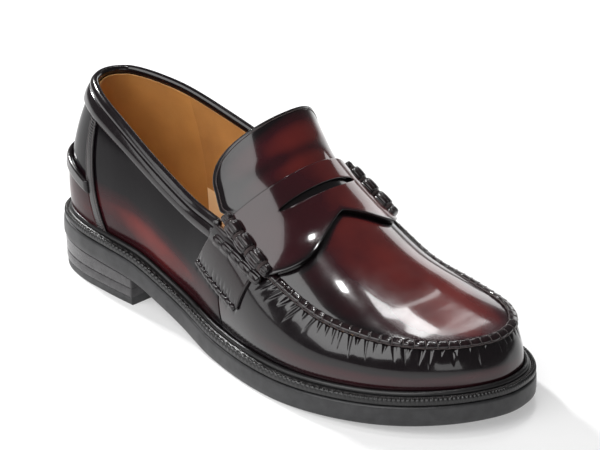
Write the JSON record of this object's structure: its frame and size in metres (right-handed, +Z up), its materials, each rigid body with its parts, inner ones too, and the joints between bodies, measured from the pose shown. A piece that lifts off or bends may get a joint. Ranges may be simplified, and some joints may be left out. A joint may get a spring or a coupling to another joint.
{
  "type": "penny loafer",
  "caption": "Right-foot penny loafer with a hand-sewn apron, slit saddle strap, rolled strap ends, storm welt and low stacked heel.",
  "frame": {"origin": "middle of the bounding box in plan, on the ground", "axes": "+X to the toe, +Y to the inner side of the foot, +Z up"},
  "size_m": [0.2994, 0.1114, 0.123],
  "materials": {
    "oxblood": "high-gloss polished leather, darker at its edges",
    "dark_leather": "high-gloss near-black burgundy leather",
    "lining_leather": "matte golden tan lining",
    "tan_leather": "matte light tan leather",
    "rubber": "matte black rubber",
    "heel_stack": "satin black stacked heel",
    "welt": "satin black edge-dressed leather",
    "thread": "waxed dark thread",
    "board": "raw fibreboard",
    "cork": "pressed cork",
    "steel": "plain steel",
    "stiffener": "resin-stiffened cloth"
  },
  "bodies": {
    "shoe": {"apron": "oxblood", "apron_lining": "lining_leather", "apron_seam": "dark_leather", "apron_thread": "thread", "back_panel": "oxblood", "back_strip_lateral": "dark_leather", "back_strip_medial": "dark_leather", "beef_roll_lateral": "dark_leather", "beef_roll_medial": "dark_leather", "collar": "dark_leather", "collar_roll": "dark_leather", "cork_filler": "cork", "heel_counter": "stiffener", "heel_foxing": "oxblood", "heel_ledge": "dark_leather", "heel_lift_lower": "heel_stack", "heel_lift_upper": "heel_stack", "heel_lining": "tan_leather", "heel_nail_1": "steel", "heel_nail_2": "steel", "heel_nail_3": "steel", "heel_nail_4": "steel", "heel_nail_5": "steel", "heel_pad": "tan_leather", "heel_top_lift": "rubber", "insole_board": "board", "outsole": "rubber", "quarter_lateral": "oxblood", "quarter_lining_lateral": "lining_leather", "quarter_lining_medial": "lining_leather", "quarter_medial": "oxblood", "roll_binding_lateral_1": "thread", "roll_binding_lateral_2": "thread", "roll_binding_lateral_3": "thread", "roll_binding_medial_1": "thread", "roll_binding_medial_2": "thread", "roll_binding_medial_3": "thread", "saddle_strap": "oxblood", "shank": "steel", "side_lacing_lateral": "thread", "side_lacing_medial": "thread", "sock_liner": "tan_leather", "strap_side_lateral": "dark_leather", "strap_side_medial": "dark_leather", "toe_puff": "stiffener", "tongue_base": "oxblood", "vamp": "oxblood", "vamp_lining": "lining_leather", "welt": "welt", "welt_bead": "welt", "welt_thread": "thread"},
    "tongue": {"tongue_flap": "oxblood", "tongue_lining": "lining_leather"}
  },
  "joints": [
    {"name": "tongue_flex", "type": "hinge", "parent": "shoe", "child": "tongue", "pos_m": [0.0205, 0.002, 0.0975], "axis": [0, 1, 0], "range_deg": [-4, 16], "stiffness_Nm_per_rad": 0.05}
  ]
}
